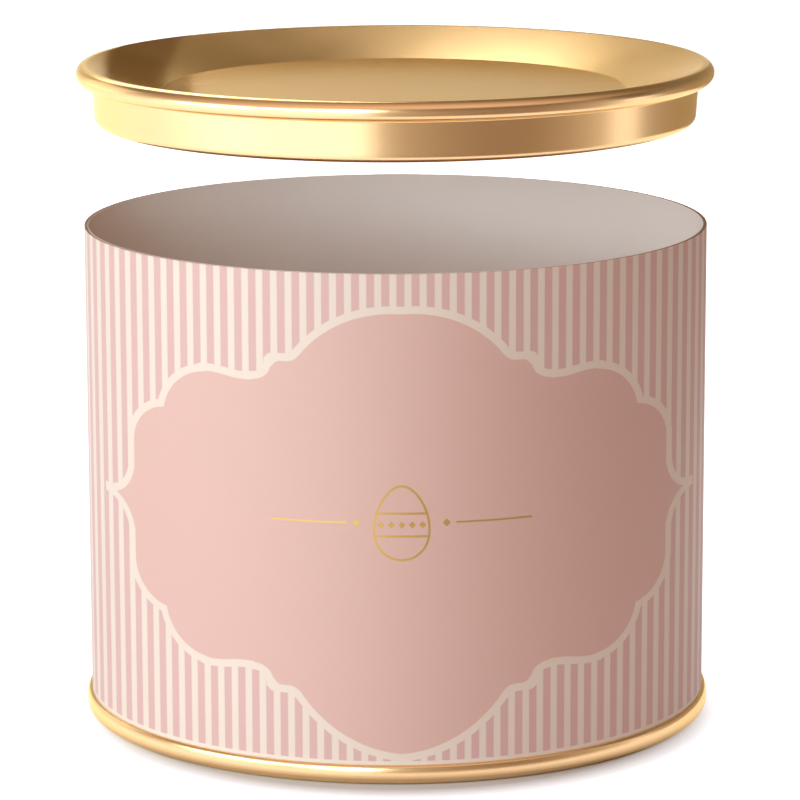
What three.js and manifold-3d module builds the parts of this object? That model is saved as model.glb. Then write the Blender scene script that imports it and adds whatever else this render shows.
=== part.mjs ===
// Round paperboard gift can with a seamed tinplate base and a loose tinplate plug lid.
// Millimetres, +Z up, origin on the floor at the middle of the foot, the can's front towards -Y.
// The tube is four glued plies, the base is double seamed on to it, and the lid is shown lifted off.
import * as THREE from "three";
import { mergeVertices } from "three/addons/utils/BufferGeometryUtils.js";
import Module from "manifold-3d";

// Tube
const TUBE_DIAMETER = 127;
const TUBE_HEIGHT = 100.5;
const LINER_THICKNESS = 0.1;
const INNER_BOARD_THICKNESS = 0.3;
const OUTER_BOARD_THICKNESS = 0.3;
const WRAP_THICKNESS = 0.1;

// Side lap of the printed wrap, at the back
const LAP_WIDTH = 9;
const LAP_SINK = 0.05;
const LAP_SEAM_GAP = 0.4;

// Double seam between the tube and the base
const SEAM_HEIGHT = 3.7;
const BASE_PLATE = 0.22;
const SEAM_CLEARANCE = 0.05;
const HOOK_SQUEEZE = 0.6;
const HOOK_END_GAP = 0.3;
const COMPOUND_THICKNESS = 0.25;

// Base panel
const BASE_PANEL_HEIGHT = 4.2;
const BASE_CORNER_RADIUS = 0.9;
const BASE_STEP_RADIUS = 48;
const BASE_STEP_RISE = 0.8;
const BASE_STEP_RUN = 1.6;

// Lid
const LID_PLATE = 0.3;
const LID_CLEARANCE = 1.2;
const LID_LIFT = 29;
const BEAD_DIAMETER = 129.4;
const BEAD_HEIGHT = 3.9;
const PANEL_RADIUS = 46.6;
const PANEL_DEPTH = 5.3;
const PANEL_CORNER_RADIUS = 1.2;
const SKIRT_DEPTH = 8.2;
const SKIRT_TAPER = 0.4;
const SKIRT_SHOULDER_RADIUS = 0.5;
const CURL_RADIUS = 1.7;
const CURL_SWEEP = THREE.MathUtils.degToRad(200);

// Facets: FOLD_STEPS is odd, so that the lowest facet of a fold lies flat
const FACETS = 48;
const FOLD_STEPS = 5;
const CURL_STEPS = 4;
const BEAD_STEPS = 9;
const CORNER_STEPS = 2;
const LAP_STEPS = 4;

// Worked-out sizes of the tube's wall
const TUBE_RADIUS = TUBE_DIAMETER / 2;
const LINER_OUT = LINER_THICKNESS;
const INNER_BOARD_OUT = LINER_OUT + INNER_BOARD_THICKNESS;
const OUTER_BOARD_OUT = INNER_BOARD_OUT + OUTER_BOARD_THICKNESS;
const WALL = OUTER_BOARD_OUT + WRAP_THICKNESS;
const BORE_RADIUS = TUBE_RADIUS - WALL;

// Worked-out sizes of the seam, from the tube's outside outwards
const COVER_HOOK_IN = TUBE_RADIUS + SEAM_CLEARANCE;
const COVER_HOOK_OUT = COVER_HOOK_IN + BASE_PLATE;
const BODY_HOOK_IN = COVER_HOOK_OUT + SEAM_CLEARANCE;
const BODY_HOOK_OUT = BODY_HOOK_IN + WALL * HOOK_SQUEEZE;
const SEAM_WALL_IN = BODY_HOOK_OUT + SEAM_CLEARANCE;
const CHUCK_WALL = BORE_RADIUS - SEAM_CLEARANCE;
const TOP_CURL_RADIUS = (SEAM_WALL_IN - COVER_HOOK_OUT) / 2;
const TOP_CURL_Z = SEAM_HEIGHT - BASE_PLATE - TOP_CURL_RADIUS;
const BODY_HOOK_TOP = TOP_CURL_Z - HOOK_END_GAP;
const INNER_FOLD_DEPTH = (BODY_HOOK_IN - TUBE_RADIUS) / 2;
const OUTER_FOLD_DEPTH = INNER_FOLD_DEPTH + WALL * (1 + HOOK_SQUEEZE) / 2;
const END_FOLD_DEPTH = OUTER_FOLD_DEPTH + COMPOUND_THICKNESS;
const FOLD_FLAT = Math.cos(Math.PI / (2 * FOLD_STEPS));
const FOLD_Z = BASE_PLATE + END_FOLD_DEPTH * FOLD_FLAT;

const wasm = await Module();
wasm.setup();

const point = (r, z) => new THREE.Vector2(r, z);

// Points of a round or elliptic stretch of a section, anticlockwise when `to` is the larger angle.
function arc(centre, radiusR, radiusZ, from, to, steps) {
  const curve = new THREE.EllipseCurve(centre.x, centre.y, radiusR, radiusZ, from, to, to < from);
  return curve.getPoints(steps);
}

// Both faces of a sheet of even thickness: the given path, and its other face on the path's right.
function sheetSection(path, thickness) {
  const last = path.length - 1;
  const rightOf = (from, to) => {
    const along = to.clone().sub(from).normalize();
    return point(along.y, -along.x);
  };
  const otherFace = path.map((corner, i) => {
    const before = rightOf(path[Math.max(i - 1, 0)], path[Math.max(i, 1)]);
    const after = rightOf(path[Math.min(i, last - 1)], path[Math.min(i + 1, last)]);
    const mitre = before.clone().add(after).normalize();
    return corner.clone().addScaledVector(mitre, thickness / mitre.dot(after));
  });
  return [...path, ...otherFace.reverse()];
}

// A closed section turned about +Z. A section that starts and ends on the axis is closed by it.
function turned(section) {
  const outline = THREE.ShapeUtils.area(section) > 0 ? [...section] : [...section].reverse();
  if (outline[0].x > 0) {
    outline.push(outline[0].clone());
  }
  return new THREE.LatheGeometry(outline, FACETS).rotateX(Math.PI / 2);
}

// A closed geometry as a solid that can be joined to another.
function solidOf(geometry) {
  const bare = geometry.clone();
  bare.deleteAttribute("normal");
  bare.deleteAttribute("uv");
  const merged = mergeVertices(bare, 1e-4);
  const mesh = new wasm.Mesh({
    numProp: 3,
    vertProperties: merged.attributes.position.array,
    triVerts: new Uint32Array(merged.index.array),
  });
  return new wasm.Manifold(mesh);
}

// A solid as a geometry again.
function geometryOf(solid) {
  const mesh = solid.getMesh();
  const geometry = new THREE.BufferGeometry();
  geometry.setAttribute("position", new THREE.BufferAttribute(mesh.vertProperties, mesh.numProp));
  geometry.setIndex(new THREE.BufferAttribute(mesh.triVerts, 1));
  geometry.computeVertexNormals();
  return geometry;
}

function piece(name, geometry, material) {
  const mesh = new THREE.Mesh(geometry, material);
  mesh.name = name;
  return mesh;
}

const paper = (color, roughness) => new THREE.MeshStandardMaterial({ color, roughness, metalness: 0 });
const goldLacquer = new THREE.MeshStandardMaterial({ color: 0xd2ab6b, roughness: 0.32, metalness: 1 });

// One face of a ply: down the wall, round the fold under the cover hook, and up the body hook.
// `depth` is how far the face lies behind the bore. The plies are pressed thinner in the seam.
function plyFace(depth) {
  const wall = BORE_RADIUS + depth;
  const left = WALL - depth;
  const hook = BODY_HOOK_IN + left * HOOK_SQUEEZE;
  const foldDepth = INNER_FOLD_DEPTH + left * (1 + HOOK_SQUEEZE) / 2;
  const middle = point((wall + hook) / 2, FOLD_Z);
  const fold = arc(middle, (hook - wall) / 2, foldDepth, Math.PI, 2 * Math.PI, FOLD_STEPS);
  return [point(wall, TUBE_HEIGHT), ...fold, point(hook, BODY_HOOK_TOP)];
}

// A ply is what lies between two faces, so glued plies share them exactly.
const ply = (from, to) => turned([...plyFace(from), ...plyFace(to).reverse()]);

// The printed sheet goes once round the tube, and its end laps over its start at the back.
function printedWrap() {
  const half = LAP_WIDTH / 2 / TUBE_RADIUS;
  const middle = Math.PI / 2;
  const origin = point(0, 0);
  const sunk = TUBE_RADIUS - LAP_SINK;
  const proud = TUBE_RADIUS + WRAP_THICKNESS;
  const outside = arc(origin, proud, proud, middle - half, middle + half, LAP_STEPS);
  const inside = arc(origin, sunk, sunk, middle + half, middle - half, LAP_STEPS);
  const foot = SEAM_HEIGHT + LAP_SEAM_GAP;
  const lap = new THREE.ExtrudeGeometry(new THREE.Shape([...outside, ...inside]), {
    depth: TUBE_HEIGHT - foot,
    bevelEnabled: false,
  });
  lap.translate(0, 0, foot);
  return geometryOf(solidOf(ply(OUTER_BOARD_OUT, WALL)).add(solidOf(lap)));
}

// The inside of the base's fold, which the lining compound separates from the tube's fold.
function endFold() {
  const middle = point((CHUCK_WALL + SEAM_WALL_IN) / 2, FOLD_Z);
  const reach = (SEAM_WALL_IN - CHUCK_WALL) / 2;
  return arc(middle, reach, END_FOLD_DEPTH, Math.PI, 2 * Math.PI, FOLD_STEPS);
}

// Stepped panel, down the chuck wall, under the tube's fold, up outside it, over and down as a hook.
function baseEnd() {
  const floor = BASE_PANEL_HEIGHT + BASE_PLATE;
  const corner = point(CHUCK_WALL - BASE_CORNER_RADIUS, floor - BASE_CORNER_RADIUS);
  const curl = point((SEAM_WALL_IN + COVER_HOOK_OUT) / 2, TOP_CURL_Z);
  const path = [
    point(0, floor + BASE_STEP_RISE),
    point(BASE_STEP_RADIUS - BASE_STEP_RUN, floor + BASE_STEP_RISE),
    point(BASE_STEP_RADIUS, floor),
    ...arc(corner, BASE_CORNER_RADIUS, BASE_CORNER_RADIUS, Math.PI / 2, 0, CORNER_STEPS),
    ...endFold(),
    ...arc(curl, TOP_CURL_RADIUS, TOP_CURL_RADIUS, 0, Math.PI, CURL_STEPS),
    point(COVER_HOOK_OUT, FOLD_Z + HOOK_END_GAP),
  ];
  return turned(sheetSection(path, BASE_PLATE));
}

// The ring of lining compound squeezed between the two folds, short of their thin ends.
function seamCompound() {
  const thick = (fold) => fold.slice(1, -1);
  const lift = point(0, SEAM_CLEARANCE);
  const tubeFold = plyFace(0).slice(1, -1);
  const lower = thick(endFold()).map((corner) => corner.add(lift));
  const upper = thick(tubeFold).map((corner) => corner.sub(lift));
  return turned([...lower, ...upper.reverse()]);
}

// One pressed sheet: panel, cone, hollow bead that lands on the tube's rim, skirt, and curled edge.
// Its z is counted from the seat, the underside of the bead.
function lidGeometry() {
  const beadRadius = BEAD_HEIGHT / 2;
  const beadCentre = point(BEAD_DIAMETER / 2 - beadRadius, beadRadius);
  const panelZ = BEAD_HEIGHT - PANEL_DEPTH;
  const toCentre = beadCentre.clone().sub(point(PANEL_RADIUS, panelZ));
  const slope = toCentre.angle() + Math.asin(beadRadius / toCentre.length());
  const tangentAngle = slope + Math.PI / 2;
  const skirtTop = BORE_RADIUS - LID_CLEARANCE;
  const shoulder = point(skirtTop + SKIRT_SHOULDER_RADIUS, -SKIRT_SHOULDER_RADIUS);
  const curl = point(skirtTop - SKIRT_TAPER - CURL_RADIUS, CURL_RADIUS - SKIRT_DEPTH);
  const setback = PANEL_CORNER_RADIUS * Math.tan(slope / 2);
  const corner = point(PANEL_RADIUS - setback, panelZ + PANEL_CORNER_RADIUS);
  const foot = -Math.PI / 2;
  const round = (centre, radius, from, to, steps) => arc(centre, radius, radius, from, to, steps);
  const path = [
    point(0, panelZ),
    ...round(corner, PANEL_CORNER_RADIUS, foot, foot + slope, CORNER_STEPS),
    ...round(beadCentre, beadRadius, tangentAngle, foot, BEAD_STEPS),
    ...round(shoulder, SKIRT_SHOULDER_RADIUS, Math.PI / 2, Math.PI, CORNER_STEPS),
    ...round(curl, CURL_RADIUS, 0, -CURL_SWEEP, CURL_STEPS + CORNER_STEPS),
  ];
  return turned(sheetSection(path, LID_PLATE));
}

const lid = piece("lid", lidGeometry(), goldLacquer);
lid.position.z = TUBE_HEIGHT + LID_LIFT;

const can = new THREE.Group();
can.add(
  piece("inner_liner", ply(0, LINER_OUT), paper(0xdcd3cd, 0.8)),
  piece("inner_board_ply", ply(LINER_OUT, INNER_BOARD_OUT), paper(0xb29d86, 0.95)),
  piece("outer_board_ply", ply(INNER_BOARD_OUT, OUTER_BOARD_OUT), paper(0xb29d86, 0.95)),
  piece("printed_wrap", printedWrap(), paper(0xe5bdb5, 0.6)),
  piece("base_end", baseEnd(), goldLacquer),
  piece("seam_compound", seamCompound(), paper(0x8f8a80, 0.7)),
  lid,
);

export default can;
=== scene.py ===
"""Studio model of a round gift can: a printed board tube on a seamed gold base, under a lifted gold lid.

Everything is in metres and in the frame's own axes: +Z up, the floor at zero, the front towards -Y.
"""

import logging
import math
from dataclasses import dataclass
from enum import Enum

import bmesh
import bpy
from mathutils import Matrix, Vector


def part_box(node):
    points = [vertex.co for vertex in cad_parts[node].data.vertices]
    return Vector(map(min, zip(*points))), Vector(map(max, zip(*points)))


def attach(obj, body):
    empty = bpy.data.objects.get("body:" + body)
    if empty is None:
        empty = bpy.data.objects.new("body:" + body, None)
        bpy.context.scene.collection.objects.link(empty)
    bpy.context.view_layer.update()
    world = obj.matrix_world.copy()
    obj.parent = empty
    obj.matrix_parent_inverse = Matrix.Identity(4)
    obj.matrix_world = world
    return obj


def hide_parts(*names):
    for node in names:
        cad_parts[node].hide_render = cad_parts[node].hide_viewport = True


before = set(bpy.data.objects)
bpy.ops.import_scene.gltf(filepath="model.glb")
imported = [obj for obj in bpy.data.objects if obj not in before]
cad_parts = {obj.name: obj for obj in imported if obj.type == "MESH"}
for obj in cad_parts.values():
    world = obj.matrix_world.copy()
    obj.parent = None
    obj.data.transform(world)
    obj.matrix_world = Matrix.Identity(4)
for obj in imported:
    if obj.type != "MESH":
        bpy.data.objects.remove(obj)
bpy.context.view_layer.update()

LOG = logging.getLogger("gift_can")
MM = 0.001
TURN = 2 * math.pi
SPIN_STEPS = 240
MERGE_DISTANCE = 1e-6
SHARP_ANGLE = math.radians(38)
NOISE_ROUGHNESS = 0.55

Colour = tuple[float, float, float]
Paint = tuple[float, float, float, float]


class Body(Enum):
    """The bodies that pieces ride on."""

    CAN = "can"
    LID = "lid"


class Slot(Enum):
    """The record's material slots."""

    GOLD_LACQUER = "gold_lacquer"
    PRINTED_PAPER = "printed_paper"
    GREY_BOARD = "grey_board"
    LINER_PAPER = "liner_paper"
    SEAM_COMPOUND = "seam_compound"


def linear(red: int, green: int, blue: int) -> Paint:
    """Turn a colour as seen on a screen into the scene's linear values.

    Args:
        red: Red from 0 to 255.
        green: Green from 0 to 255.
        blue: Blue from 0 to 255.

    Returns:
        The linear colour with an alpha of 1.
    """
    def channel(level: int) -> float:
        """Undo the screen's curve for one channel."""
        share = level / 255
        return share / 12.92 if share <= 0.04045 else ((share + 0.055) / 1.055) ** 2.4

    return channel(red), channel(green), channel(blue), 1.0


def baked(name: str, mesh: bmesh.types.BMesh) -> bpy.types.Mesh:
    """Turn a working mesh into mesh data.

    Args:
        name: The data's name.
        mesh: The working mesh, which is used up.

    Returns:
        The mesh data.
    """
    data = bpy.data.meshes.new(name)
    mesh.to_mesh(data)
    mesh.free()
    return data


def placed(name: str, data: bpy.types.ID) -> bpy.types.Object:
    """Put data into the scene.

    Args:
        name: The object's name.
        data: Its mesh, light or camera.

    Returns:
        The new object.
    """
    made = bpy.data.objects.new(name, data)
    bpy.context.scene.collection.objects.link(made)
    return made


def add_mesh(target: bmesh.types.BMesh, mesh: bmesh.types.BMesh) -> None:
    """Add one working mesh to another.

    Args:
        target: The mesh that grows.
        mesh: The mesh to add, which is used up.
    """
    data = baked("added_mesh", mesh)
    target.from_mesh(data)
    bpy.data.meshes.remove(data)


class Value:
    """A number that changes over a surface: a socket whose arithmetic adds Math nodes."""

    def __init__(self, graph: "Graph", socket: bpy.types.NodeSocket) -> None:
        """Wrap a socket of a graph."""
        self.graph = graph
        self.socket = socket

    def __add__(self, other: "Value | float") -> "Value":
        """Add a number or a value."""
        return self.graph.math("ADD", self, other)

    def __radd__(self, other: float) -> "Value":
        """Add to a number."""
        return self.graph.math("ADD", other, self)

    def __sub__(self, other: "Value | float") -> "Value":
        """Take a number or a value away."""
        return self.graph.math("SUBTRACT", self, other)

    def __rsub__(self, other: float) -> "Value":
        """Take this value from a number."""
        return self.graph.math("SUBTRACT", other, self)

    def __mul__(self, other: "Value | float") -> "Value":
        """Multiply by a number or a value."""
        return self.graph.math("MULTIPLY", self, other)

    def __rmul__(self, other: float) -> "Value":
        """Multiply a number by this value."""
        return self.graph.math("MULTIPLY", other, self)

    def __truediv__(self, other: "Value | float") -> "Value":
        """Divide by a number or a value."""
        return self.graph.math("DIVIDE", self, other)

    def __neg__(self) -> "Value":
        """Change the sign."""
        return self.graph.math("MULTIPLY", self, -1.0)

    def __abs__(self) -> "Value":
        """Drop the sign."""
        return self.graph.math("ABSOLUTE", self)

    def __pow__(self, power: float) -> "Value":
        """Raise to a power."""
        return self.graph.math("POWER", self, power)

    def __mod__(self, period: float) -> "Value":
        """Give what is left over past whole periods, never negative."""
        return self.graph.math("FLOORED_MODULO", self, period)

    def least(self, other: "Value | float") -> "Value":
        """Give the smaller of two."""
        return self.graph.math("MINIMUM", self, other)

    def most(self, other: "Value | float") -> "Value":
        """Give the larger of two."""
        return self.graph.math("MAXIMUM", self, other)

    def clamped(self) -> "Value":
        """Keep between 0 and 1."""
        return self.most(0.0).least(1.0)

    def below(self, edge: float, blur: float) -> "Value":
        """Give 1 below an edge and 0 above it, turning evenly over a blur."""
        return ((edge - self) / blur + 0.5).clamped()


class Graph:
    """The node tree of one material or of the world."""

    def __init__(self, owner: bpy.types.Material | bpy.types.World) -> None:
        """Start an empty tree.

        Args:
            owner: The material or the world that the tree belongs to.
        """
        owner.use_nodes = True
        self.tree = owner.node_tree
        self.tree.nodes.clear()

    def node(
        self, kind: str, settings: dict | None = None, inputs: dict | None = None
    ) -> bpy.types.Node:
        """Add a node.

        Args:
            kind: The node's type.
            settings: Properties of the node, which are set first.
            inputs: Values or links of its sockets, by name or number.

        Returns:
            The new node.
        """
        made = self.tree.nodes.new(kind)
        for name, setting in (settings or {}).items():
            setattr(made, name, setting)
        for key, value in (inputs or {}).items():
            source = value.socket if isinstance(value, Value) else value
            if isinstance(source, bpy.types.NodeSocket):
                self.tree.links.new(source, made.inputs[key])
            else:
                made.inputs[key].default_value = source
        return made

    def math(self, operation: str, *operands: Value | float) -> Value:
        """Add a Math node of that operation."""
        made = self.node("ShaderNodeMath", {"operation": operation}, dict(enumerate(operands)))
        return Value(self, made.outputs[0])

    def place(self) -> tuple[Value, Value, Value, bpy.types.NodeSocket]:
        """Give the place on the piece.

        Returns:
            The x, y and z of the surface, and all three as one vector.
        """
        vector = self.node("ShaderNodeTexCoord").outputs["Object"]
        parts = self.node("ShaderNodeSeparateXYZ", inputs={0: vector}).outputs
        return Value(self, parts[0]), Value(self, parts[1]), Value(self, parts[2]), vector

    def vector(self, x: Value | float, y: Value | float, z: Value | float) -> bpy.types.NodeSocket:
        """Join three numbers to a vector."""
        return self.node("ShaderNodeCombineXYZ", inputs={0: x, 1: y, 2: z}).outputs[0]

    def noise(self, where: bpy.types.NodeSocket, grain: float, detail: float = 2.0) -> Value:
        """Make cloudy noise from 0 to 1.

        Args:
            where: The place that it follows.
            grain: The width of its clouds.
            detail: How many finer layers it has.

        Returns:
            The noise.
        """
        inputs = {"Vector": where, "Scale": 1 / grain, "Detail": detail, "Roughness": NOISE_ROUGHNESS}
        return Value(self, self.node("ShaderNodeTexNoise", inputs=inputs).outputs[0])

    def blend(self, share: Value, low: object, high: object) -> bpy.types.NodeSocket:
        """Mix two colours.

        Args:
            share: 0 gives the low colour, and 1 the high one.
            low: A colour or a socket.
            high: A colour or a socket.

        Returns:
            The mixed colour.
        """
        made = self.node("ShaderNodeMix", {"data_type": "RGBA"}, {0: share, 6: low, 7: high})
        return made.outputs[2]

    def bump(self, height: Value, depth: float, strength: float) -> bpy.types.NodeSocket:
        """Turn a height from 0 to 1 into a normal.

        Args:
            height: The height over the surface.
            depth: What a height of 1 stands for.
            strength: The share of the effect that is kept.

        Returns:
            The normal.
        """
        inputs = {"Strength": strength, "Distance": depth, "Height": height}
        return self.node("ShaderNodeBump", inputs=inputs).outputs[0]

    def seen_ray(self) -> Value:
        """Tell apart the rays that show the room from those that only light it.

        Returns:
            1 for rays of the camera, of reflections and through clear things, and 0 for others.
        """
        rays = self.node("ShaderNodeLightPath").outputs
        seen = Value(self, rays["Is Camera Ray"]) + Value(self, rays["Is Glossy Ray"])
        return (seen + Value(self, rays["Is Transmission Ray"])).clamped()

    def surface(self, **sockets: object) -> None:
        """End the material in a Principled shader.

        Args:
            **sockets: The shader's inputs by name, with underscores for spaces.
        """
        inputs = {name.replace("_", " "): value for name, value in sockets.items()}
        shader = self.node("ShaderNodeBsdfPrincipled", inputs=inputs)
        self.node("ShaderNodeOutputMaterial", inputs={"Surface": shader.outputs[0]})


class Finish:
    """What all finishes share: a title, and a material made once."""

    title: str

    def material(self) -> bpy.types.Material:
        """Give the finish's material, and make it the first time.

        Returns:
            The material.
        """
        made = bpy.data.materials.get(self.title)
        if made is None:
            made = bpy.data.materials.new(self.title)
            self.dress(Graph(made))
        return made

    def dress(self, graph: Graph) -> None:
        """Fill the material's tree."""
        raise NotImplementedError


@dataclass(frozen=True)
class GoldLacquer(Finish):
    """Satin gold lacquer on rolled tinplate."""

    title = "gold_lacquer_finish"
    colour: Colour = (0.88, 0.605, 0.325)
    deep_colour: Colour = (0.85, 0.57, 0.29)
    edge_tint: Colour = (1.0, 0.90, 0.56)
    roughness: float = 0.25
    grain_length: float = 9 * MM
    grain_width: float = 0.22 * MM
    cloud: float = 14 * MM
    cloud_share: float = 0.7
    grain_share: float = 0.3
    grain_swing: float = 0.06
    cloud_swing: float = 0.05
    coat: float = 0.15
    coat_roughness: float = 0.2
    relief: float = 0.002 * MM
    relief_share: float = 0.2

    def dress(self, graph: Graph) -> None:
        """Fill the material's tree: fine rolled grain and faint lacquer clouds.

        Args:
            graph: The tree to fill.
        """
        x, y, z, where = graph.place()
        along = graph.vector(x * (self.grain_width / self.grain_length), y, z)
        grain = graph.noise(along, self.grain_width, 3.0)
        clouds = graph.noise(where, self.cloud, 2.0)
        tone = (clouds * self.cloud_share + grain * self.grain_share).clamped()
        swing = (grain - 0.5) * self.grain_swing + (clouds - 0.5) * self.cloud_swing
        graph.surface(
            Base_Color=graph.blend(tone, (*self.deep_colour, 1), (*self.colour, 1)),
            Metallic=1.0,
            Specular_Tint=(*self.edge_tint, 1),
            Roughness=self.roughness + swing,
            Coat_Weight=self.coat,
            Coat_Roughness=self.coat_roughness,
            Normal=graph.bump(grain, self.relief, self.relief_share),
        )


@dataclass(frozen=True)
class LabelOutline:
    """Outline of the printed label. One quarter is made of discs and boxes, and the others mirror it."""

    middle_s: float = 1.04 * MM
    middle_z: float = 49.36 * MM
    side_rise: float = 1.62 * MM
    rise_reach: float = 20.0 * MM
    border: float = 1.5 * MM
    dome_radius: float = 24.4 * MM
    dome_rise: float = 19.0 * MM
    ledge_height: float = 32.1 * MM
    notch_s: float = 29.15 * MM
    notch_rise: float = 32.5 * MM
    notch_radius: float = 4.35 * MM
    body_height: float = 27.95 * MM
    lobe_s: float = 37.9 * MM
    lobe_rise: float = 18.4 * MM
    lobe_radius: float = 10.15 * MM
    ear_s: float = 46.75 * MM
    ear_rise: float = 11.65 * MM
    ear_radius: float = 8.5 * MM
    tip_s: float = 60.15 * MM
    tip_height: float = 6.0 * MM
    tip_sharpness: float = 0.45
    hollow_s: float = 63.05 * MM
    hollow_rise: float = 7.2 * MM
    ease: float = 1.5 * MM

    def distance(self, s: Value, z: Value) -> Value:
        """Measure how far a place on the unrolled paper lies outside the label.

        Args:
            s: The place along the tube's girth, from its front.
            z: The place up the tube.

        Returns:
            The distance, below zero inside the label.
        """
        u = abs(s - self.middle_s)
        v = abs(z - self.middle_z - (u / self.rise_reach).least(1.0) * self.side_rise)

        def disc(at_u: float, at_v: float, radius: float) -> Value:
            """Measure from a disc."""
            return ((u - at_u) ** 2 + (v - at_v) ** 2) ** 0.5 - radius

        def box(half_u: float, half_v: float) -> Value:
            """Measure from a box about the middle."""
            return (u - half_u).most(v - half_v)

        def eased(one: Value, other: Value) -> Value:
            """Join two forms with a rounded inner corner."""
            near = (self.ease - abs(one - other)).most(0.0)
            return one.least(other) - near * near / (4 * self.ease)

        notch = disc(self.notch_s, self.notch_rise, self.notch_radius)
        dome = disc(0.0, self.dome_rise, self.dome_radius)
        ledge = -eased(self.notch_s - self.notch_radius - u, self.ledge_height - v)
        under_notch = box(self.notch_s, self.ledge_height - self.border).most(-notch)
        lobe = disc(self.lobe_s, self.lobe_rise, self.lobe_radius)
        shoulder = eased(box(self.lobe_s, self.body_height), lobe).most(-notch)
        ear = disc(self.ear_s, self.ear_rise, self.ear_radius)
        side = box(self.ear_s + self.ear_radius, self.ear_rise)
        hollow_radius = math.hypot(self.hollow_s - self.tip_s, self.hollow_rise)
        hollow = disc(self.hollow_s, self.hollow_rise, hollow_radius)
        tip = ((u - self.tip_s) * self.tip_sharpness).most(v - self.tip_height).most(-hollow)
        middle = eased(eased(dome, ledge), under_notch)
        return middle.least(shoulder).least(ear).least(side).least(tip)


@dataclass(frozen=True)
class PrintedPaper(Finish):
    """Silk-coated paper, printed with rose and cream stripes and a framed rose label."""

    title = "printed_paper_finish"
    radius: float = 63.5 * MM
    rose: Paint = linear(210, 171, 162)
    stripe_rose: Paint = linear(207, 168, 165)
    cream: Paint = linear(222, 206, 194)
    fibre_rose: Paint = linear(200, 163, 154)
    # A pale band along the paper's foot, a little lighter than the cream, up to this height.
    pale_foot_band: Paint = linear(225, 211, 200)
    pale_band_top: float = 4.5 * MM
    stripes: int = 104
    spread: tuple[float, float, float] = (0.749, 0.141, -0.008)
    cream_share: float = 0.47
    stripe_shift: float = -0.56 * MM
    lap_rise: float = 0.05 * MM
    lap_shift: float = 0.5 * MM
    blur: float = 0.18 * MM
    fibre: float = 0.35 * MM
    fibre_stretch: float = 0.35
    cloud: float = 22 * MM
    cloud_share: float = 0.6
    fibre_share: float = 0.4
    tone_start: float = 0.35
    tone_share: float = 0.25
    roughness: float = 0.52
    fibre_swing: float = 0.16
    cloud_swing: float = 0.08
    shine: float = 0.35
    relief: float = 0.012 * MM
    relief_share: float = 0.3
    outline: LabelOutline = LabelOutline()

    def dress(self, graph: Graph) -> None:
        """Fill the material's tree: the print, wider spaced at the sides, and the paper's fibres.

        Args:
            graph: The tree to fill.
        """
        x, y, z, where = graph.place()
        even, once, twice = self.spread
        angle = graph.math("ARCTAN2", x, -y)
        waves = graph.math("SINE", angle * 2.0) * once + graph.math("SINE", angle * 4.0) * twice
        s = (angle * even + waves) * self.radius
        pitch = TURN * even * self.radius / self.stripes
        on_lap = 1.0 - ((x * x + y * y) ** 0.5).below(self.radius + self.lap_rise, self.lap_rise / 5)
        from_middle = abs(((s - self.stripe_shift - on_lap * self.lap_shift) / pitch + 0.5) % 1.0 - 0.5)
        striped = from_middle.below(self.cream_share / 2, self.blur / pitch)
        distance = self.outline.distance(s, z)
        framed = distance.below(self.outline.border, self.blur)
        filled = distance.below(0.0, self.blur)
        ground = graph.blend(striped.most(framed), self.stripe_rose, self.cream)
        print_ink = graph.blend(filled, ground, self.rose)
        # The pale band along the foot, a little lighter than the cream.
        ink = graph.blend(z.below(self.pale_band_top, self.blur), print_ink, self.pale_foot_band)
        fibres = graph.noise(graph.vector(x, y, z * self.fibre_stretch), self.fibre, 4.0)
        clouds = graph.noise(where, self.cloud, 3.0)
        worn = (clouds * self.cloud_share + fibres * self.fibre_share - self.tone_start).clamped()
        swing = (fibres - 0.5) * self.fibre_swing + (clouds - 0.5) * self.cloud_swing
        graph.surface(
            Base_Color=graph.blend(worn * self.tone_share, ink, self.fibre_rose),
            Roughness=self.roughness + swing,
            Specular_IOR_Level=self.shine,
            Normal=graph.bump(fibres, self.relief, self.relief_share),
        )


@dataclass(frozen=True)
class LinerPaper(Finish):
    """Matt off-white lining paper."""

    title = "liner_paper_finish"
    colour: Paint = linear(249, 241, 239)
    shade: Paint = linear(242, 231, 228)
    fibre: float = 0.5 * MM
    fibre_stretch: float = 2.5
    cloud: float = 18 * MM
    cloud_share: float = 0.6
    fibre_share: float = 0.4
    roughness: float = 0.78
    fibre_swing: float = 0.2
    shine: float = 0.25
    relief: float = 0.02 * MM
    relief_share: float = 0.35

    def dress(self, graph: Graph) -> None:
        """Fill the material's tree: soft clouds and short fibres.

        Args:
            graph: The tree to fill.
        """
        x, y, z, where = graph.place()
        fibres = graph.noise(graph.vector(x, y, z * self.fibre_stretch), self.fibre, 4.0)
        clouds = graph.noise(where, self.cloud, 3.0)
        tone = (clouds * self.cloud_share + fibres * self.fibre_share).clamped()
        graph.surface(
            Base_Color=graph.blend(tone, self.shade, self.colour),
            Roughness=self.roughness + (fibres - 0.5) * self.fibre_swing,
            Specular_IOR_Level=self.shine,
            Normal=graph.bump(fibres, self.relief, self.relief_share),
        )


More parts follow.
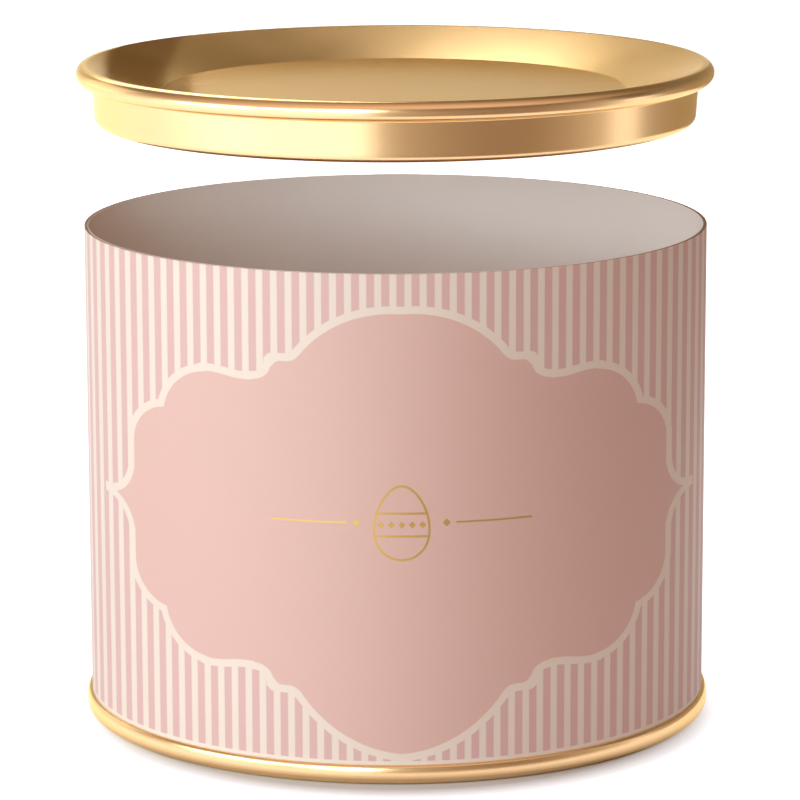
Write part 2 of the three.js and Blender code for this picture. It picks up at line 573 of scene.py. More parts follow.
@dataclass(frozen=True)
class GreyBoard(Finish):
    """Uncoated board, seen as the raw edge of the tube."""

    title = "grey_board_finish"
    colour: Paint = linear(188, 166, 148)
    fleck: Paint = linear(150, 126, 108)
    fleck_size: float = 0.4 * MM
    fleck_start: float = 0.35
    fleck_contrast: float = 2.2
    fibre: float = 0.12 * MM
    roughness: float = 0.9
    fibre_swing: float = 0.15
    shine: float = 0.2
    relief: float = 0.03 * MM
    relief_share: float = 0.5

    def dress(self, graph: Graph) -> None:
        """Fill the material's tree: pulp flecks and torn fibres.

        Args:
            graph: The tree to fill.
        """
        _, _, _, where = graph.place()
        flecks = graph.noise(where, self.fleck_size, 5.0)
        fibres = graph.noise(where, self.fibre, 3.0)
        tone = ((flecks - self.fleck_start) * self.fleck_contrast).clamped()
        graph.surface(
            Base_Color=graph.blend(tone, self.fleck, self.colour),
            Roughness=self.roughness + (fibres - 0.5) * self.fibre_swing,
            Specular_IOR_Level=self.shine,
            Normal=graph.bump(fibres, self.relief, self.relief_share),
        )


@dataclass(frozen=True)
class SealingCompound(Finish):
    """Matt compound squeezed into the seam."""

    title = "seam_compound_finish"
    colour: Paint = linear(150, 146, 138)
    dust: Paint = linear(174, 168, 158)
    flow_size: float = 1.2 * MM
    roughness: float = 0.62
    flow_swing: float = 0.2
    relief: float = 0.04 * MM
    relief_share: float = 0.4

    def dress(self, graph: Graph) -> None:
        """Fill the material's tree: a flowed, slightly uneven skin.

        Args:
            graph: The tree to fill.
        """
        _, _, _, where = graph.place()
        flow = graph.noise(where, self.flow_size, 3.0)
        graph.surface(
            Base_Color=graph.blend(flow, self.colour, self.dust),
            Roughness=self.roughness + (flow - 0.5) * self.flow_swing,
            Normal=graph.bump(flow, self.relief, self.relief_share),
        )


@dataclass(frozen=True)
class FoilStamp(Finish):
    """Gold foil stamped on the paper."""

    title = "foil_stamp_finish"
    colour: Paint = linear(214, 178, 108)
    thin: Paint = linear(196, 156, 92)
    fibre: float = 0.3 * MM
    metal: float = 0.85
    roughness: float = 0.4
    fibre_swing: float = 0.2
    relief: float = 0.01 * MM
    relief_share: float = 0.4

    def dress(self, graph: Graph) -> None:
        """Fill the material's tree: foil that is thinner where the paper is rough.

        Args:
            graph: The tree to fill.
        """
        _, _, _, where = graph.place()
        fibres = graph.noise(where, self.fibre, 4.0)
        graph.surface(
            Base_Color=graph.blend(fibres, self.thin, self.colour),
            Metallic=self.metal,
            Roughness=self.roughness + (fibres - 0.5) * self.fibre_swing,
            Normal=graph.bump(fibres, self.relief, self.relief_share),
        )


@dataclass(frozen=True)
class StudioFloor(Finish):
    """Pale floor that shows white away from the can, keeps the can's real shadow, and has a painted
    contact shadow round its foot.
    """

    title = "studio_floor_finish"
    grey: float = 0.58
    mottle: float = 0.01
    cloud: float = 0.4
    # The lift's colours and reaches: it fades out round the can's foot, pushed towards the front, as a
    # painted contact shadow.
    painted_shadow_colour: Colour = (0.0, 0.0, 0.0)
    near_glow: Colour = (0.88, 0.91, 0.97)
    far_glow: Colour = (1.00, 1.05, 1.12)
    painted_shadow_start: float = 57.5 * MM
    near: float = 66.5 * MM
    far: float = 0.4
    painted_shadow_shift: float = 9.5 * MM

    def dress(self, graph: Graph) -> None:
        """Fill the material's tree: a matt floor, lifted to white for the camera and in reflections, with
        the lift fading out round the can as a painted contact shadow.

        Args:
            graph: The tree to fill.
        """
        x, y, _, where = graph.place()
        clouds = graph.noise(where, self.cloud, 2.0)
        low = (self.grey - self.mottle,) * 3
        high = (self.grey + self.mottle,) * 3
        paint = graph.blend(clouds, (*low, 1), (*high, 1))
        matt = graph.node("ShaderNodeBsdfDiffuse", inputs={0: paint})
        # Painted contact shadow: the lift is lower near the can and gone at its foot, more so in front,
        # and the gold's reflections of the floor show it too.
        forward = y + self.painted_shadow_shift
        from_axis = (x * x + forward * forward) ** 0.5
        painted_shadow_fade = ((from_axis - self.painted_shadow_start) / (self.near - self.painted_shadow_start)).clamped()
        away = ((from_axis - self.near) / (self.far - self.near)).clamped()
        close = graph.blend(painted_shadow_fade, (*self.painted_shadow_colour, 1), (*self.near_glow, 1))
        glow = graph.blend(away, close, (*self.far_glow, 1))
        lift = graph.node("ShaderNodeEmission", inputs={"Color": glow})
        lit = graph.node("ShaderNodeAddShader", inputs={0: matt.outputs[0], 1: lift.outputs[0]})
        inputs = {0: graph.seen_ray(), 1: matt.outputs[0], 2: lit.outputs[0]}
        both = graph.node("ShaderNodeMixShader", inputs=inputs)
        graph.node("ShaderNodeOutputMaterial", inputs={"Surface": both.outputs[0]})


@dataclass(frozen=True)
class ShadedCard(Finish):
    """Matt card, darkest along one upright line and at its head, that shades some reflections."""

    title: str
    dark: Colour
    pale: Colour
    darkest: float
    left: float
    right: float
    sharpness: float = 1.6
    head_shade: float = 0.48
    shade_start: float = 0.1
    shade_end: float = 0.3

    def dress(self, graph: Graph) -> None:
        """Fill the material's tree: matt, paler away from the darkest line, and darker at its head.

        Args:
            graph: The tree to fill.
        """
        x, y, z, _ = graph.place()
        beyond = graph.math("ARCTAN2", x, -y) - math.radians(self.darkest)
        away = (beyond / math.radians(self.right)).most(-beyond / math.radians(self.left))
        share = away.clamped() ** self.sharpness
        low = graph.blend(share, (*self.dark, 1), (*self.pale, 1))
        dark_head = [level * self.head_shade for level in self.dark]
        pale_head = [level * self.head_shade for level in self.pale]
        high = graph.blend(share, (*dark_head, 1), (*pale_head, 1))
        up = ((z - self.shade_start) / (self.shade_end - self.shade_start)).clamped()
        tone = graph.blend(up, low, high)
        matt = graph.node("ShaderNodeBsdfDiffuse", inputs={0: tone})
        graph.node("ShaderNodeOutputMaterial", inputs={"Surface": matt.outputs[0]})


class SectionPen:
    """Draws a section in the half plane of radius and height, as a chain of edges ready to be spun."""

    def __init__(self, radius: float, height: float) -> None:
        """Set the pen down.

        Args:
            radius: The distance from the can's axis.
            height: The height above the floor.
        """
        self.mesh = bmesh.new()
        self.tip = self.mesh.verts.new((radius, 0.0, height))
        self.start = self.tip

    def line(self, radius: float, height: float) -> "SectionPen":
        """Draw a straight line from where the pen is.

        Args:
            radius: The distance of its end from the can's axis.
            height: The height of its end.

        Returns:
            The pen.
        """
        self.tip = bmesh.ops.extrude_vert_indiv(self.mesh, verts=[self.tip])["verts"][0]
        self.tip.co = (radius, 0.0, height)
        return self

    def arc(
        self, radius: float, height: float, sweep: float, steps: int, squash: float = 1.0
    ) -> "SectionPen":
        """Draw an arc from where the pen is.

        Args:
            radius: The radius of the arc's centre from the can's axis.
            height: The height of the arc's centre.
            sweep: The angle drawn, anticlockwise where it is positive.
            steps: How many straight steps stand for the arc.
            squash: The arc's height as a share of its width.

        Returns:
            The pen.
        """
        centre = Vector((radius, 0.0, height))
        before = set(self.mesh.verts)
        made = bmesh.ops.spin(
            self.mesh, geom=[self.tip], cent=centre, axis=(0, -1, 0), angle=sweep, steps=steps
        )
        self.tip = next(part for part in made["geom_last"] if isinstance(part, bmesh.types.BMVert))
        drawn = [vert for vert in self.mesh.verts if vert not in before]
        bmesh.ops.scale(self.mesh, vec=(1, 1, squash), space=Matrix.Translation(-centre), verts=drawn)
        return self

    def close(self) -> "SectionPen":
        """Join the pen's end to its start."""
        self.mesh.edges.new((self.tip, self.start))
        return self

    def turned(self, sheet: float = 0.0) -> bmesh.types.BMesh:
        """Spin the section round the can's axis.

        Args:
            sheet: The thickness to give an open section, on the underside of its first stretch.

        Returns:
            The spun mesh.
        """
        mesh = self.mesh
        geom = mesh.verts[:] + mesh.edges[:]
        bmesh.ops.spin(
            mesh, geom=geom, cent=(0, 0, 0), axis=(0, 0, 1), angle=TURN, steps=SPIN_STEPS, use_merge=True
        )
        bmesh.ops.remove_doubles(mesh, verts=mesh.verts[:], dist=MERGE_DISTANCE)
        bmesh.ops.recalc_face_normals(mesh, faces=mesh.faces[:])
        if sheet:
            middle = min(mesh.faces, key=lambda face: face.calc_center_median().xy.length)
            if middle.normal.z < 0:
                bmesh.ops.reverse_faces(mesh, faces=mesh.faces[:])
            bmesh.ops.solidify(mesh, geom=mesh.faces[:], thickness=sheet)
        return mesh


class Assembly:
    """What all sub-assemblies share: the way that a finished mesh becomes a piece."""

    body = Body.CAN

    def piece(
        self, name: str, mesh: bmesh.types.BMesh, finish: Finish, slot: Slot, node: str | None = None
    ) -> bpy.types.Object:
        """Make a piece from a mesh.

        Args:
            name: The piece's name.
            mesh: Its mesh, in place, which is used up.
            finish: What it is finished with.
            slot: The record's slot for that finish, which is not used.
            node: The node that the piece stands for.

        Returns:
            The piece, which rides on the assembly's body.
        """
        data = baked(name, mesh)
        data.shade_smooth()
        data.set_sharp_from_angle(angle=SHARP_ANGLE)
        data.materials.append(finish.material())
        made = placed(name, data)
        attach(made, self.body.value)
        if node:
            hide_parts(node)
        return made


@dataclass(frozen=True)
class SeamSizes:
    """Sizes of the double seam, which the tube and the base share."""

    tube_radius: float = 63.5 * MM
    wall: float = 0.8 * MM
    height: float = 3.7 * MM
    plate: float = 0.22 * MM
    clearance: float = 0.05 * MM
    squeeze: float = 0.6
    end_gap: float = 0.7 * MM
    compound: float = 0.25 * MM
    lift: float = 0.001 * MM

    @property
    def bore(self) -> float:
        """Inner radius of the tube."""
        return self.tube_radius - self.wall

    @property
    def cover_hook(self) -> float:
        """Outer radius of the base's hook."""
        return self.tube_radius + self.clearance + self.plate

    @property
    def body_hook(self) -> float:
        """Inner radius of the tube's turned-up edge."""
        return self.cover_hook + self.clearance

    @property
    def seam_wall(self) -> float:
        """Inner radius of the seam's outer wall."""
        return self.body_hook + self.wall * self.squeeze + self.clearance

    @property
    def chuck_wall(self) -> float:
        """Outer radius of the base's wall inside the tube."""
        return self.bore - self.clearance

    @property
    def inner_fold(self) -> float:
        """Depth of the innermost fold."""
        return (self.body_hook - self.tube_radius) / 2

    @property
    def end_fold(self) -> float:
        """Depth of the base's fold."""
        return self.inner_fold + self.wall * (1 + self.squeeze) / 2 + self.compound

    @property
    def fold_z(self) -> float:
        """Height at which the folds begin."""
        return self.lift + self.plate + self.end_fold

    @property
    def curl_radius(self) -> float:
        """Inner radius of the curl on top of the seam."""
        return (self.seam_wall - self.cover_hook) / 2

    @property
    def curl_z(self) -> float:
        """Height of the middle of that curl."""
        return self.height - self.plate - self.curl_radius

    @property
    def hook_top(self) -> float:
        """Height of the tube's turned-up edge."""
        return self.curl_z - self.end_gap


@dataclass(frozen=True)
class Ply:
    """One layer of the tube's wall."""

    name: str
    thickness: float
    finish: Finish
    slot: Slot
    sunk: float = 0.0


@dataclass
class Tube(Assembly):
    """The board tube: liner, two board plies and the printed wrap, folded into the seam at its foot."""

    seam: SeamSizes = SeamSizes()
    lap_width: float = 9.0 * MM
    lap_ramp: float = 1.2 * MM
    lap_foot: float = 4.1 * MM
    lap_steps: int = 18
    lap_share: float = 0.9
    edge_round: float = 0.05 * MM
    fold_steps: int = 14

    @property
    def plies(self) -> tuple[Ply, ...]:
        """The layers of the wall.

        Returns:
            The plies from the bore outwards.
        """
        return (
            Ply("inner_liner", 0.1 * MM, LinerPaper(), Slot.LINER_PAPER),
            Ply("inner_board_ply", 0.3 * MM, GreyBoard(), Slot.GREY_BOARD, 0.03 * MM),
            Ply("outer_board_ply", 0.3 * MM, GreyBoard(), Slot.GREY_BOARD, 0.05 * MM),
            Ply("printed_wrap", 0.1 * MM, PrintedPaper(), Slot.PRINTED_PAPER),
        )

    def ply_mesh(self, inner: float, outer: float, top: float) -> bmesh.types.BMesh:
        """Turn one ply.

        Args:
            inner: How far its inner face lies behind the bore.
            outer: How far its outer face lies behind the bore.
            top: The height of its cut edge.

        Returns:
            The ply's mesh.
        """
        seam = self.seam
        faces = []
        for depth in (inner, outer):
            left = seam.wall - depth
            wall = seam.bore + depth
            hook = seam.body_hook + left * seam.squeeze
            fold = seam.inner_fold + left * (1 + seam.squeeze) / 2
            faces.append((wall, hook, (wall + hook) / 2, 2 * fold / (hook - wall)))
        (wall, hook, middle, squash), (far_wall, far_hook, far_middle, far_squash) = faces
        pen = SectionPen(wall, top - self.edge_round)
        pen.line(wall, seam.fold_z)
        pen.arc(middle, seam.fold_z, math.pi, self.fold_steps, squash)
        pen.line(hook, seam.hook_top).line(far_hook, seam.hook_top).line(far_hook, seam.fold_z)
        pen.arc(far_middle, seam.fold_z, -math.pi, self.fold_steps, far_squash)
        pen.line(far_wall, top - self.edge_round)
        pen.line(far_wall - self.edge_round, top).line(wall + self.edge_round, top)
        return pen.close().turned()

    def add_lap(self, mesh: bmesh.types.BMesh, thickness: float, top: float) -> None:
        """Add the glued side lap of the wrap at the back, with one cut edge and one that runs out flat.

        Args:
            mesh: The wrap's mesh.
            thickness: The thickness of the wrap.
            top: The height of its cut edge.
        """
        radius = self.seam.tube_radius
        half = self.lap_width / 2 / radius
        foot, proud = self.lap_foot, radius + thickness
        lap = bmesh.new()
        ends = [lap.verts.new((0.0, proud, height)) for height in (foot, top)]
        bmesh.ops.rotate(lap, verts=ends, cent=(0, 0, 0), matrix=Matrix.Rotation(-half, 3, "Z"))
        edge = lap.edges.new(ends)
        bmesh.ops.spin(
            lap, geom=[*ends, edge], cent=(0, 0, 0), axis=(0, 0, 1), angle=2 * half, steps=self.lap_steps
        )
        for vert in lap.verts:
            along = (math.atan2(-vert.co.x, vert.co.y) + half) * radius
            rise = min(along / self.lap_ramp, 1.0)
            vert.co.xy *= (radius + thickness * rise) / proud
        bmesh.ops.recalc_face_normals(lap, faces=lap.faces[:])
        first = next(iter(lap.faces))
        if first.normal.dot(first.calc_center_median()) < 0:
            bmesh.ops.reverse_faces(lap, faces=lap.faces[:])
        bmesh.ops.solidify(lap, geom=lap.faces[:], thickness=thickness * self.lap_share)
        add_mesh(mesh, lap)

    def build(self) -> list[bpy.types.Object]:
        """Build and dress the plies.

        Returns:
            The pieces.
        """
        made = []
        depth = 0.0
        for ply in self.plies:
            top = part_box(ply.name)[1].z - ply.sunk
            mesh = self.ply_mesh(depth, depth + ply.thickness, top)
            if ply.slot is Slot.PRINTED_PAPER:
                self.add_lap(mesh, ply.thickness, top)
            made.append(self.piece(f"{ply.name}_skin", mesh, ply.finish, ply.slot, ply.name))
            depth += ply.thickness
        return made


@dataclass
class BaseEnd(Assembly):
    """The gold base: a stepped panel whose edge is rolled with the tube into a double seam."""

    seam: SeamSizes = SeamSizes()
    panel_height: float = 4.2 * MM
    corner_radius: float = 0.9 * MM
    step_radius: float = 48.0 * MM
    step_rise: float = 0.8 * MM
    step_run: float = 1.6 * MM
    shoulder_z: float = 1.6 * MM
    corner_steps: int = 8
    fold_steps: int = 24
    shoulder_steps: int = 16
    compound_steps: int = 12
    compound_skip: float = math.radians(25)

    def shell_mesh(self) -> bmesh.types.BMesh:
        """Turn the base's one sheet, drawn from the middle of its panel to the end of its hook.

        Returns:
            The base's mesh.
        """
        seam = self.seam
        floor = self.panel_height + seam.plate
        upper = floor + self.step_rise
        pen = SectionPen(0.0, upper)
        pen.line(self.step_radius / 2, upper)
        pen.line(self.step_radius - self.step_run, upper).line(self.step_radius, floor)
        corner = seam.chuck_wall - self.corner_radius
        pen.line(corner, floor)
        pen.arc(corner, floor - self.corner_radius, -math.pi / 2, self.corner_steps)
        pen.line(seam.chuck_wall, seam.fold_z)
        reach = (seam.seam_wall - seam.chuck_wall) / 2
        pen.arc(seam.chuck_wall + reach, seam.fold_z, math.pi, self.fold_steps, seam.end_fold / reach)
        pen.line(seam.seam_wall, self.shoulder_z)
        shoulder = (seam.height - seam.plate - self.shoulder_z) / (seam.seam_wall - seam.cover_hook)
        pen.arc(seam.cover_hook, self.shoulder_z, math.pi / 2, self.shoulder_steps, shoulder)
        pen.line(seam.cover_hook, seam.fold_z + seam.end_gap)
        return pen.turned(seam.plate)

    def compound_mesh(self) -> bmesh.types.BMesh:
        """Turn the ring of sealing compound between the base's fold and the tube's.

        Returns:
            The ring's mesh.
        """
        seam = self.seam
        reach = (seam.seam_wall - seam.chuck_wall) / 2 - 2 * seam.clearance
        middle = seam.chuck_wall + (seam.seam_wall - seam.chuck_wall) / 2
        lower = seam.end_fold - seam.clearance
        upper = lower - seam.compound + 2 * seam.clearance
        skip = self.compound_skip
        turn = (math.pi - 2 * skip) / self.compound_steps
        pen = SectionPen(middle - reach * math.cos(skip), seam.fold_z - upper * math.sin(skip))
        for step in range(1, self.compound_steps + 1):
            angle = math.pi + skip + step * turn
            pen.line(middle + reach * math.cos(angle), seam.fold_z + upper * math.sin(angle))
        for step in range(self.compound_steps + 1):
            angle = TURN - skip - step * turn
            pen.line(middle + reach * math.cos(angle), seam.fold_z + lower * math.sin(angle))
        return pen.close().turned()

    def build(self) -> list[bpy.types.Object]:
        """Build and dress the base and its sealing ring.

        Returns:
            The pieces.
        """
        shell = self.piece("base_shell", self.shell_mesh(), GoldLacquer(), Slot.GOLD_LACQUER, "base_end")
        ring = self.piece(
            "sealing_ring", self.compound_mesh(), SealingCompound(), Slot.SEAM_COMPOUND, "seam_compound"
        )
        return [shell, ring]


@dataclass
class PlugLid(Assembly):
    """The gold lid: one sheet with a sunken panel, a hollow bead, a plug skirt and a curled edge."""

    body = Body.LID
    plate: float = 0.3 * MM
    bead_radius: float = 1.95 * MM
    bead_reach: float = 64.7 * MM
    panel_radius: float = 46.6 * MM
    panel_depth: float = 5.3 * MM
    panel_corner: float = 1.2 * MM
    skirt_radius: float = 61.5 * MM
    skirt_depth: float = 8.2 * MM
    skirt_taper: float = 0.4 * MM
    shoulder_radius: float = 0.5 * MM
    curl_radius: float = 1.7 * MM
    curl_sweep: float = math.radians(200)
    panel_rings: int = 4
    corner_steps: int = 6
    bead_steps: int = 32
    curl_steps: int = 20

    def shell_mesh(self) -> bmesh.types.BMesh:
        """Turn the lid's one sheet, drawn from the middle of its panel to the end of its curl.

        Returns:
            The lid's mesh.
        """
        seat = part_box("lid")[1].z - 2 * self.bead_radius
        bead = Vector((self.bead_reach - self.bead_radius, seat + self.bead_radius))
        panel_z = seat + 2 * self.bead_radius - self.panel_depth
        to_bead = bead - Vector((self.panel_radius, panel_z))
        slope = math.atan2(to_bead.y, to_bead.x) + math.asin(self.bead_radius / to_bead.length)
        setback = self.panel_corner * math.tan(slope / 2)
        tangent = Vector((-math.sin(slope), math.cos(slope))) * self.bead_radius
        foot = self.skirt_radius - self.skirt_taper
        pen = SectionPen(0.0, panel_z)
        for ring in range(1, self.panel_rings):
            pen.line(self.panel_radius * ring / self.panel_rings, panel_z)
        pen.line(self.panel_radius - setback, panel_z)
        pen.arc(self.panel_radius - setback, panel_z + self.panel_corner, slope, self.corner_steps)
        pen.line(bead.x + tangent.x, bead.y + tangent.y)
        pen.arc(bead.x, bead.y, -(math.pi + slope), self.bead_steps)
        shoulder = self.skirt_radius + self.shoulder_radius
        pen.line(shoulder, seat)
        pen.arc(shoulder, seat - self.shoulder_radius, math.pi / 2, self.corner_steps)
        curl_z = seat - self.skirt_depth + self.curl_radius
        pen.line(foot, curl_z)
        pen.arc(foot - self.curl_radius, curl_z, -self.curl_sweep, self.curl_steps)
        return pen.turned(self.plate)

    def build(self) -> list[bpy.types.Object]:
        """Build and dress the lid.

        Returns:
            The pieces.
        """
        return [self.piece("lid_shell", self.shell_mesh(), GoldLacquer(), Slot.GOLD_LACQUER, "lid")]


@dataclass
class FoilOrnament(Assembly):
    """A plain banded egg between two rules, stamped in foil at the middle of the label."""

    radius: float = 63.5 * MM
    middle_s: float = 1.0 * MM
    middle_z: float = 52.0 * MM
    egg_width: float = 11.0 * MM
    egg_height: float = 15.0 * MM
    egg_swell: float = 0.18
    egg_segments: int = 72
    line: float = 0.45 * MM
    bands: tuple[float, float] = (-2.6 * MM, 1.9 * MM)
    dots_each_side: int = 2
    dot_pitch: float = 2.0 * MM
    dot_z: float = -0.35 * MM
    dot_size: float = 0.7 * MM
    rule_start: float = 10.5 * MM
    rule_length: float = 15.5 * MM
    rule_share: float = 0.8
    end_gap: float = 1.8 * MM
    end_size: float = 0.8 * MM
    strip: float = 1.2 * MM
    thickness: float = 0.02 * MM

    def egg(self, mesh: bmesh.types.BMesh) -> list[bmesh.types.BMFace]:
        """Add a flat egg, blunt end down.

        Args:
            mesh: The mesh to add it to.

        Returns:
            The egg's face.
        """
        upright = Matrix.Rotation(math.pi / 2, 4, "X")
        made = bmesh.ops.create_circle(
            mesh, cap_ends=True, segments=self.egg_segments, radius=1.0, matrix=upright
        )
        for vert in made["verts"]:
            width = 1.0 - self.egg_swell * vert.co.z
            vert.co.x *= width * self.egg_width / 2
            vert.co.z *= self.egg_height / 2
        return list({face for vert in made["verts"] for face in vert.link_faces})

    def egg_band(self, low: float, high: float) -> bmesh.types.BMesh:
        """Cut a level band out of the egg.

        Args:
            low: The band's lower edge from the egg's middle.
            high: The band's upper edge.

        Returns:
            The band's mesh.
        """
        mesh = bmesh.new()
        self.egg(mesh)
        for height, outward in ((low, -1), (high, 1)):
            geom = mesh.verts[:] + mesh.edges[:] + mesh.faces[:]
            bmesh.ops.bisect_plane(
                mesh, geom=geom, plane_co=(0, 0, height), plane_no=(0, 0, outward), clear_outer=True
            )
        return mesh

    def egg_ring(self) -> bmesh.types.BMesh:
        """Leave only the egg's outline.

        Returns:
            The outline's mesh.
        """
        mesh = bmesh.new()
        inner = self.egg(mesh)
        bmesh.ops.inset_region(
            mesh, faces=inner, thickness=self.line, use_boundary=True, use_even_offset=True
        )
        bmesh.ops.delete(mesh, geom=inner, context="FACES")
        return mesh

    def diamond(self, s: float, z: float, size: float) -> bmesh.types.BMesh:
        """Make a small diamond on the flat label.

        Args:
            s: Its place along the girth.
            z: Its height.
            size: From its middle to its points.

        Returns:
            The diamond's mesh.
        """
        mesh = bmesh.new()
        place = Matrix.Translation((s, 0, z)) @ Matrix.Rotation(math.pi / 2, 4, "X")
        bmesh.ops.create_circle(mesh, cap_ends=True, segments=4, radius=size, matrix=place)
        return mesh

    def rule(self, side: int) -> bmesh.types.BMesh:
        """Make a level rule on one side of the egg.

        Args:
            side: 1 for the right and -1 for the left.

        Returns:
            The rule's mesh.
        """
        mesh = bmesh.new()
        middle = side * (self.rule_start + self.rule_length / 2)
        scale = Matrix.Diagonal((self.rule_length, 1, self.line * self.rule_share, 1))
        place = Matrix.Translation((middle, 0, 0)) @ scale @ Matrix.Rotation(math.pi / 2, 4, "X")
        bmesh.ops.create_grid(mesh, x_segments=1, y_segments=1, size=0.5, matrix=place)
        return mesh

    def parts(self) -> list[bmesh.types.BMesh]:
        """Make all flat parts of the ornament about its middle.

        Returns:
            The meshes of the parts.
        """
        bands = [self.egg_band(z - self.line / 2, z + self.line / 2) for z in self.bands]
        steps = range(-self.dots_each_side, self.dots_each_side + 1)
        dots = [self.diamond(step * self.dot_pitch, self.dot_z, self.dot_size) for step in steps]
        rules = [self.rule(side) for side in (-1, 1)]
        end_s = self.rule_start - self.end_gap
        ends = [self.diamond(side * end_s, 0.0, self.end_size) for side in (-1, 1)]
        return [self.egg_ring(), *bands, *dots, *rules, *ends]

    def stamped(self) -> bmesh.types.BMesh:
        """Join the flat parts, give them their thickness and roll them on to the tube.

        Returns:
            The ornament's mesh.
        """
        mesh = bmesh.new()
        for part in self.parts():
            add_mesh(mesh, part)
        reach = self.rule_start + self.rule_length
        cuts = int(2 * reach / self.strip)
        for cut in range(1, cuts):
            geom = mesh.verts[:] + mesh.edges[:] + mesh.faces[:]
            at = -reach + cut * 2 * reach / cuts
            bmesh.ops.bisect_plane(mesh, geom=geom, plane_co=(at, 0, 0), plane_no=(1, 0, 0))
        raised = bmesh.ops.extrude_face_region(mesh, geom=mesh.faces[:])["geom"]
        lifted = [part for part in raised if isinstance(part, bmesh.types.BMVert)]
        bmesh.ops.translate(mesh, verts=lifted, vec=(0, -self.thickness, 0))
        for vert in mesh.verts:
            turn = (vert.co.x + self.middle_s) / self.radius
            out = self.radius - vert.co.y
            vert.co = (out * math.sin(turn), -out * math.cos(turn), vert.co.z + self.middle_z)
        bmesh.ops.recalc_face_normals(mesh, faces=mesh.faces[:])
        return mesh

    def build(self) -> list[bpy.types.Object]:
        """Build and dress the ornament.

        Returns:
            The pieces.
        """
        return [self.piece("foil_ornament", self.stamped(), FoilStamp(), Slot.GOLD_LACQUER)]


@dataclass(frozen=True)
class Softbox:
    """A soft light that faces a point on the can's axis, and may stay out of reflections."""

    name: str
    azimuth: float
    elevation: float
    distance: float
    width: float
    height: float
    glow: float
    tint: Colour = (1.0, 1.0, 1.0)
    aim_z: float = 75 * MM
    mirrored: bool = True

    def build(self) -> bpy.types.Object:
        """Hang the light.

        Returns:
            The lamp.
        """
        data = bpy.data.lights.new(self.name, "AREA")
        data.shape = "RECTANGLE"
        data.size = self.width
        data.size_y = self.height
        data.energy = self.glow * math.pi * self.width * self.height
        data.color = self.tint
        lamp = placed(self.name, data)
        turn = math.radians(self.azimuth)
        lift = math.radians(self.elevation)
        level = math.cos(lift)
        away = Vector((math.sin(turn) * level, -math.cos(turn) * level, math.sin(lift)))
        lamp.location = Vector((0, 0, self.aim_z)) + away * self.distance
        lamp.rotation_euler = (-away).to_track_quat("-Z", "Y").to_euler()
        lamp.visible_camera = False
        lamp.visible_glossy = self.mirrored
        return lamp


@dataclass(frozen=True)
class Flag:
    """A curved card that stands or hangs round part of the can, unseen by the camera."""

    name: str
    azimuth: float
    left: float
    right: float
    foot: float
    head: float
    height: float
    dark: Colour
    pale: Colour
    bottom: float = 0.0
    mirrored_only: bool = False
    steps: int = 24

    def build(self) -> bpy.types.Object:
        """Put the card up.

        Returns:
            The card.
        """
        mesh = bmesh.new()
        low = mesh.verts.new((0, -self.foot, self.bottom))
        high = mesh.verts.new((0, -self.head, self.height))
        ends = [low, high]
        edge = mesh.edges.new(ends)
        start = Matrix.Rotation(math.radians(self.azimuth - self.left), 3, "Z")
        bmesh.ops.rotate(mesh, verts=ends, cent=(0, 0, 0), matrix=start)
        sweep = math.radians(self.left + self.right)
        bmesh.ops.spin(
            mesh, geom=[*ends, edge], cent=(0, 0, 0), axis=(0, 0, 1), angle=sweep, steps=self.steps
        )
        data = baked(self.name, mesh)
        title = f"{self.name}_finish"
        finish = ShadedCard(title, self.dark, self.pale, self.azimuth, self.left, self.right)
        data.materials.append(finish.material())
        card = placed(self.name, data)
        card.visible_camera = False
        card.visible_diffuse = not self.mirrored_only
        card.visible_shadow = not self.mirrored_only
        return card


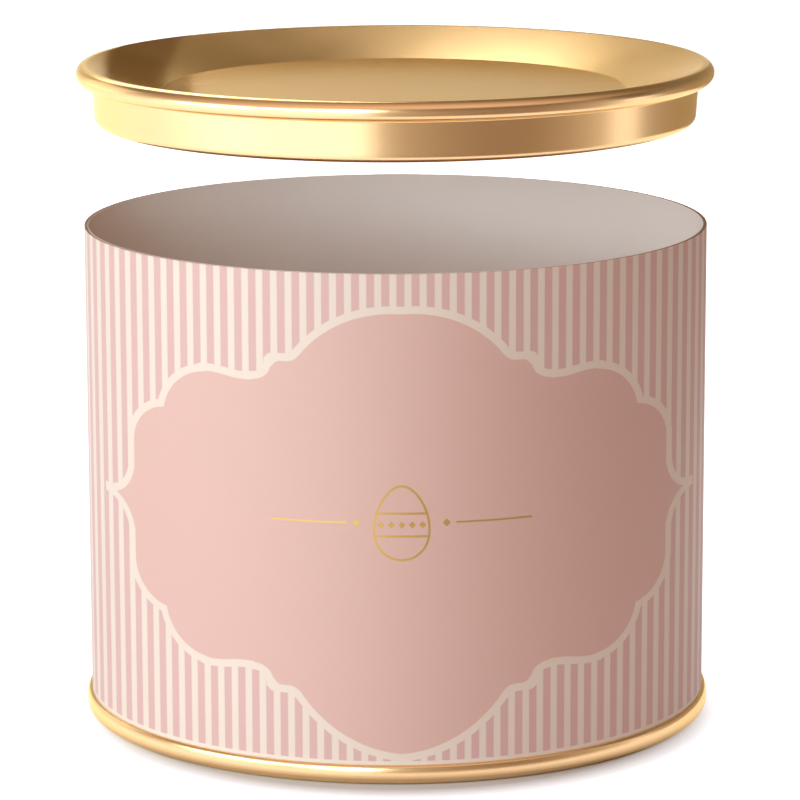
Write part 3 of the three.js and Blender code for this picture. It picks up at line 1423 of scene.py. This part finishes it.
@dataclass
class Studio:
    """The pale floor, the soft lights, the cards and the room round them."""

    floor_radius: float = 4.0
    floor_segments: int = 128
    floor_drop: float = 0.05 * MM
    cool: Colour = (0.82, 1.02, 1.08)
    warm: Colour = (1.05, 0.98, 0.97)
    low_room: Colour = (1.04, 0.97, 0.92)
    front_room: Colour = (1.0, 0.74, 0.64)
    back_room: Colour = (0.20, 0.145, 0.09)
    room_fade: float = 0.45

    @property
    def lights(self) -> tuple[Softbox, ...]:
        """The soft lights: low ones at the left and the front, and dimmer ones round and above the can.

        Returns:
            The lights.
        """
        return (
            Softbox(
                "left_softbox", azimuth=-39, elevation=12, distance=0.56,
                width=0.62, height=0.09, glow=5.5, tint=self.cool,
            ),
            Softbox(
                "left_low_softbox", azimuth=-64, elevation=6, distance=0.5,
                width=0.26, height=0.12, glow=3.8, tint=self.cool,
            ),
            Softbox(
                "left_back_softbox", azimuth=-125, elevation=16, distance=0.7,
                width=0.4, height=0.4, glow=0.8,
            ),
            Softbox(
                "front_softbox", azimuth=-14, elevation=15, distance=0.8,
                width=0.4, height=0.3, glow=5.2, tint=self.cool,
            ),
            Softbox(
                "right_strip", azimuth=87, elevation=2, distance=0.6,
                width=0.12, height=0.2, glow=0.6,
            ),
            Softbox(
                "right_low_strip", azimuth=40, elevation=0, distance=0.155,
                width=0.15, height=0.016, glow=1.3, tint=self.warm, aim_z=12 * MM, mirrored=False,
            ),
            Softbox(
                "back_softbox", azimuth=199.5, elevation=38, distance=0.8,
                width=0.36, height=0.44, glow=3.5, aim_z=130 * MM,
            ),
        )

    @property
    def cards(self) -> tuple[Flag, ...]:
        """The cards: three round the right, and a small one at the lid's back left for reflections alone.

        Returns:
            The cards.
        """
        return (
            Flag(
                "front_right_card", azimuth=40, left=47, right=39, foot=0.17, head=0.5, height=0.4,
                dark=(0.49, 0.41, 0.335), pale=(1.0, 0.99, 0.93),
            ),
            Flag(
                "side_card", azimuth=89, left=11, right=11, foot=0.45, head=0.45, height=0.4,
                dark=(0.40, 0.34, 0.27), pale=(0.40, 0.34, 0.27), bottom=0.13,
            ),
            Flag(
                "back_right_card", azimuth=130, left=31, right=31, foot=0.42, head=0.45, height=0.4,
                dark=(0.55, 0.50, 0.43), pale=(0.60, 0.55, 0.48),
            ),
            Flag(
                "lid_card", azimuth=-135, left=8, right=8, foot=0.073, head=0.073, height=0.148,
                dark=(0.15, 0.09, 0.025), pale=(0.15, 0.09, 0.025), bottom=0.122, mirrored_only=True,
            ),
        )

    def room(self) -> bpy.types.World:
        """Make the room: brightest near the floor's edge, and dim above the back.

        Returns:
            The world.
        """
        world = bpy.data.worlds.new("studio_room")
        graph = Graph(world)
        _, behind, up, _ = graph.place()
        above = graph.blend((behind + 0.5).clamped(), (*self.front_room, 1), (*self.back_room, 1))
        tone = graph.blend((up / self.room_fade).clamped(), (*self.low_room, 1), above)
        back = graph.node("ShaderNodeBackground", inputs={"Color": tone})
        graph.node("ShaderNodeOutputWorld", inputs={"Surface": back.outputs[0]})
        return world

    def build(self) -> None:
        """Lay the floor, hang the lights, put up the cards and set the room."""
        mesh = bmesh.new()
        drop = Matrix.Translation((0, 0, -self.floor_drop))
        bmesh.ops.create_circle(
            mesh, cap_ends=True, segments=self.floor_segments, radius=self.floor_radius, matrix=drop
        )
        data = baked("studio_floor", mesh)
        data.materials.append(StudioFloor().material())
        floor = placed("studio_floor", data)
        for part in (*self.lights, *self.cards):
            part.build()
        bpy.context.scene.world = self.room()
        bpy.context.scene.view_settings.view_transform = "Standard"


@dataclass(frozen=True)
class PhotoCamera:
    """The camera at the photograph's viewing angle."""

    distance: float = 842.7 * MM
    height: float = 237.4 * MM
    pitch: float = math.radians(11.69)
    yaw: float = math.radians(0.054)
    roll: float = math.radians(0.171)
    lens: float = 187.7
    sensor: float = 36.0

    def build(self) -> bpy.types.Object:
        """Set up the camera.

        Returns:
            The camera.
        """
        data = bpy.data.cameras.new("photo_camera")
        data.lens = self.lens
        data.sensor_width = self.sensor
        camera = placed("photo_camera", data)
        turn = Matrix.Rotation(-self.yaw, 4, "Z")
        tilt = Matrix.Rotation(math.pi / 2 - self.pitch, 4, "X")
        lean = Matrix.Rotation(-self.roll, 4, "Z")
        camera.matrix_world = Matrix.Translation((0, -self.distance, self.height)) @ turn @ tilt @ lean
        bpy.context.scene.camera = camera
        return camera


def main() -> None:
    """Build the camera, the can's assemblies and the studio, and report each piece."""
    logging.basicConfig(level=logging.INFO, format="%(name)s: %(message)s")
    PhotoCamera().build()
    for assembly in (Tube(), BaseEnd(), PlugLid(), FoilOrnament()):
        for piece in assembly.build():
            LOG.info("%s: %d faces on %s", piece.name, len(piece.data.polygons), assembly.body.value)
    Studio().build()


if __name__ == "__main__":
    main()
